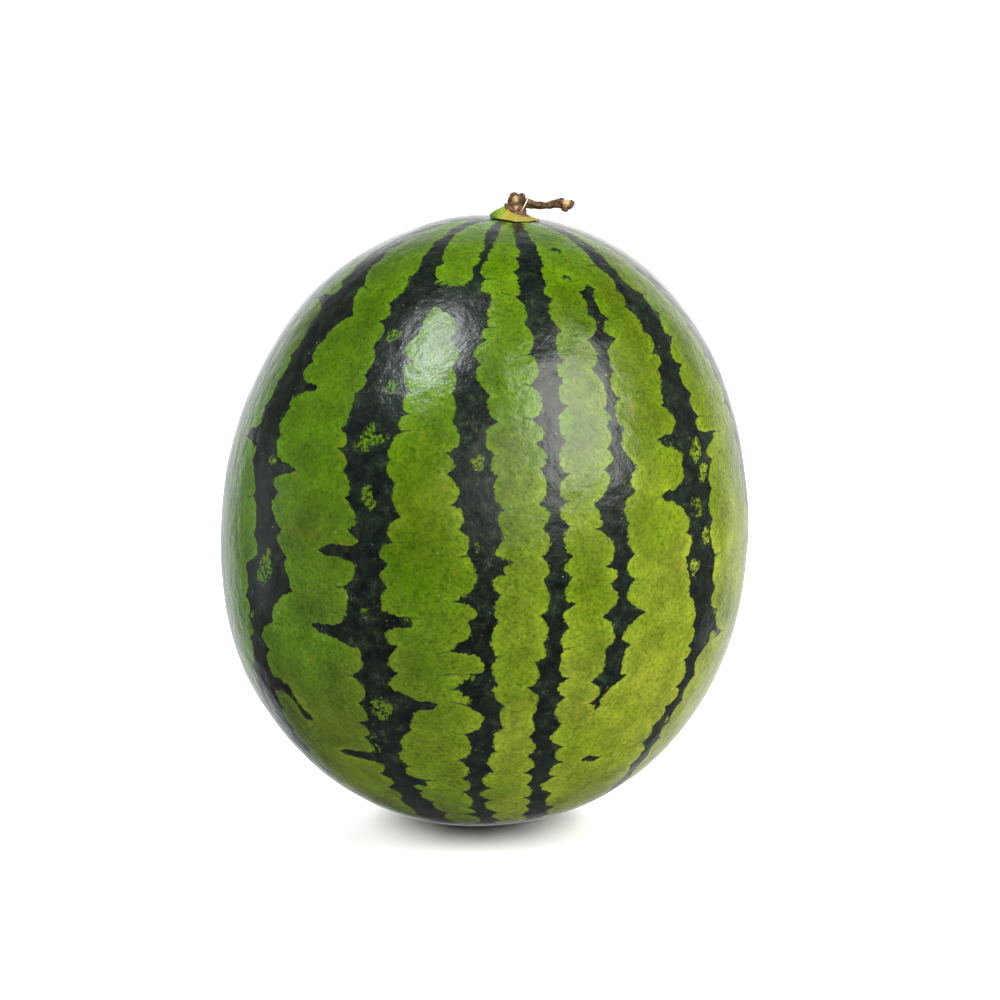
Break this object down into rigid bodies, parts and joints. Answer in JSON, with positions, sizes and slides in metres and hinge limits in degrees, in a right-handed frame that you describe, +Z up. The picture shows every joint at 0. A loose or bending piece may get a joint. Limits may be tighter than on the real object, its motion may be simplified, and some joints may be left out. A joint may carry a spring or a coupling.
{
  "type": "watermelon",
  "caption": "Whole striped watermelon with its dried, bent stem, standing upright on a small flat spot at the blossom end.",
  "frame": {"origin": "on the floor, below the middle of the part's outline, in the plane of the flat spot that it rests on", "axes": "+Z up, from the resting spot towards the stem; +X the way the core line leans and the stem bends; -Y faces the viewer"},
  "size_m": [0.2404, 0.24, 0.2888],
  "materials": {
    "rind": "waxy satin rind, dark green stripes with scalloped edges on mottled light green",
    "stalk": "dry fibrous stalk, green where it joins the rind and brown above"
  },
  "bodies": {
    "root": {"fruit": "rind", "stem": "stalk"}
  },
  "joints": []
}
